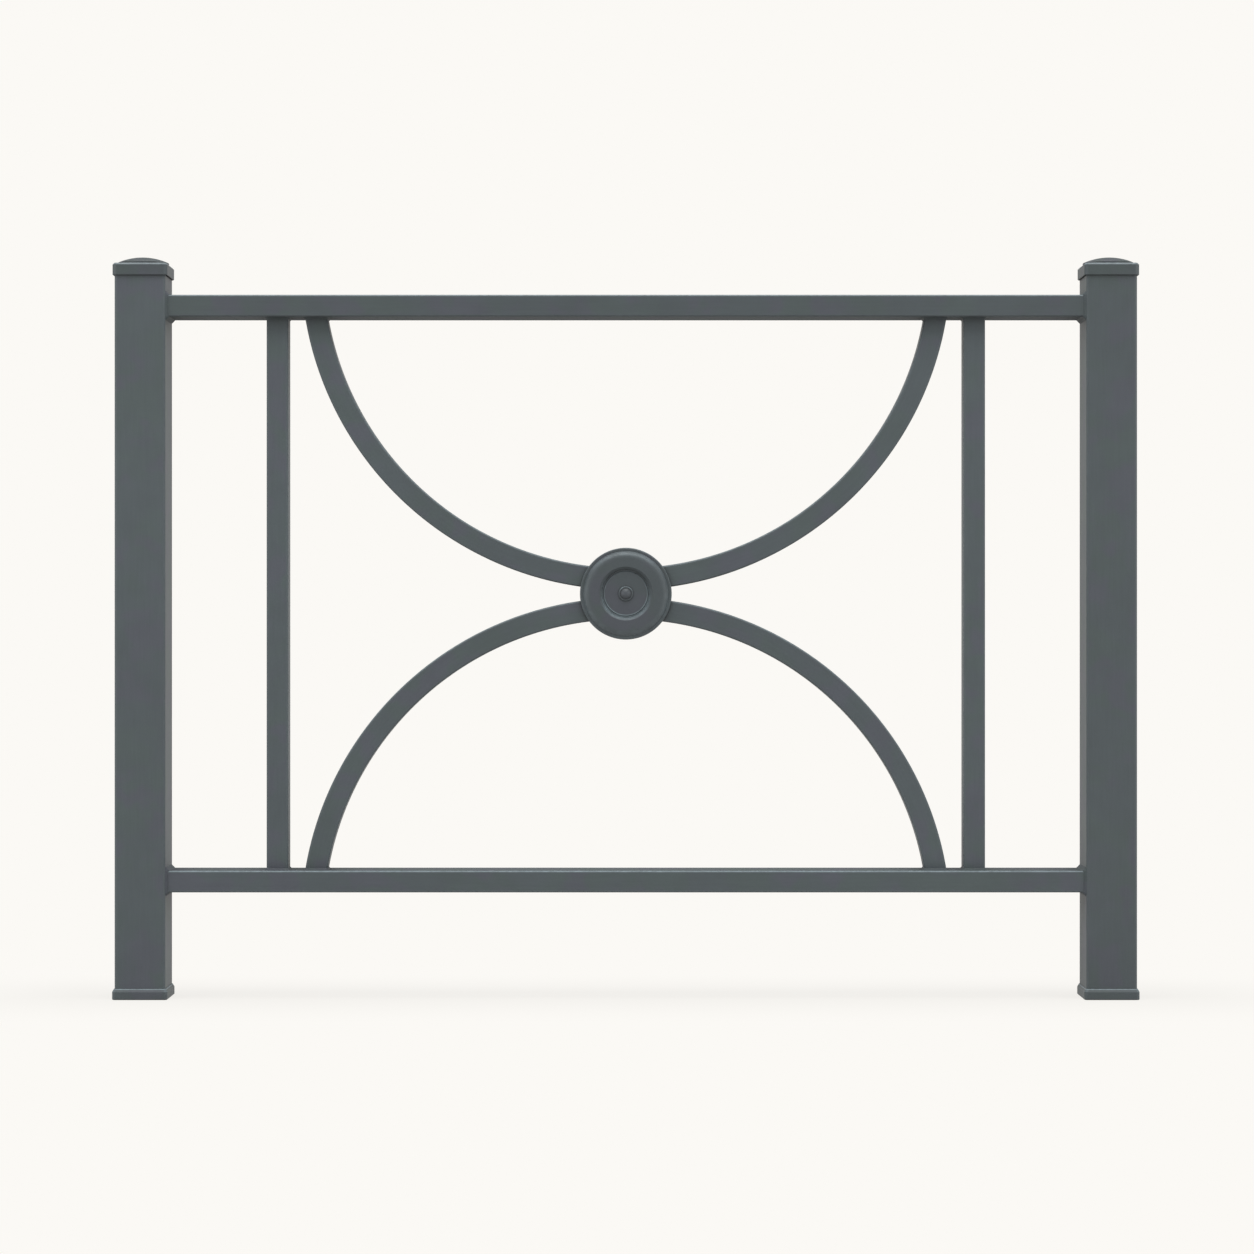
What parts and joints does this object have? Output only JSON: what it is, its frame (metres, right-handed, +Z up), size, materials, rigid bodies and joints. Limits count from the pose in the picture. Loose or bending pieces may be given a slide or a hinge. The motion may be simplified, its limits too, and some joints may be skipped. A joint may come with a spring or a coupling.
{
  "type": "street barrier",
  "caption": "Welded tube street barrier: posts with domed caps and shoes, flat rails, uprights, and back-to-back arcs joined by a turned rosette; keeps people off a roadway.",
  "frame": {"origin": "middle of the left foot's underside, where the left post meets the ground", "axes": "+X along the barrier to the right post, +Z up, the front faces -Y"},
  "size_m": [1.4164, 0.0764, 1.0266],
  "materials": {
    "powder_coat": "satin basalt-grey powder coat on rolled steel tube",
    "powder_coat_cast": "satin basalt-grey powder coat on cast and turned steel",
    "powder_coat_weld": "satin basalt-grey powder coat over weld beads"
  },
  "bodies": {
    "root": {"left_post": "powder_coat", "right_post": "powder_coat", "left_foot": "powder_coat_cast", "right_foot": "powder_coat_cast", "left_post_cap": "powder_coat_cast", "right_post_cap": "powder_coat_cast", "top_rail": "powder_coat", "bottom_rail": "powder_coat", "left_upright": "powder_coat", "right_upright": "powder_coat", "upper_arc": "powder_coat", "lower_arc": "powder_coat", "rosette_front": "powder_coat_cast", "rosette_back": "powder_coat_cast", "rosette_front_washer": "powder_coat_cast", "rosette_back_washer": "powder_coat_cast", "rosette_bolt": "powder_coat_cast", "rosette_back_nut": "powder_coat_cast", "top_rail_left_weld": "powder_coat_weld", "top_rail_right_weld": "powder_coat_weld", "bottom_rail_left_weld": "powder_coat_weld", "bottom_rail_right_weld": "powder_coat_weld", "left_upright_top_weld": "powder_coat_weld", "left_upright_bottom_weld": "powder_coat_weld", "right_upright_top_weld": "powder_coat_weld", "right_upright_bottom_weld": "powder_coat_weld", "upper_arc_left_weld": "powder_coat_weld", "upper_arc_right_weld": "powder_coat_weld", "lower_arc_left_weld": "powder_coat_weld", "lower_arc_right_weld": "powder_coat_weld"}
  },
  "joints": []
}
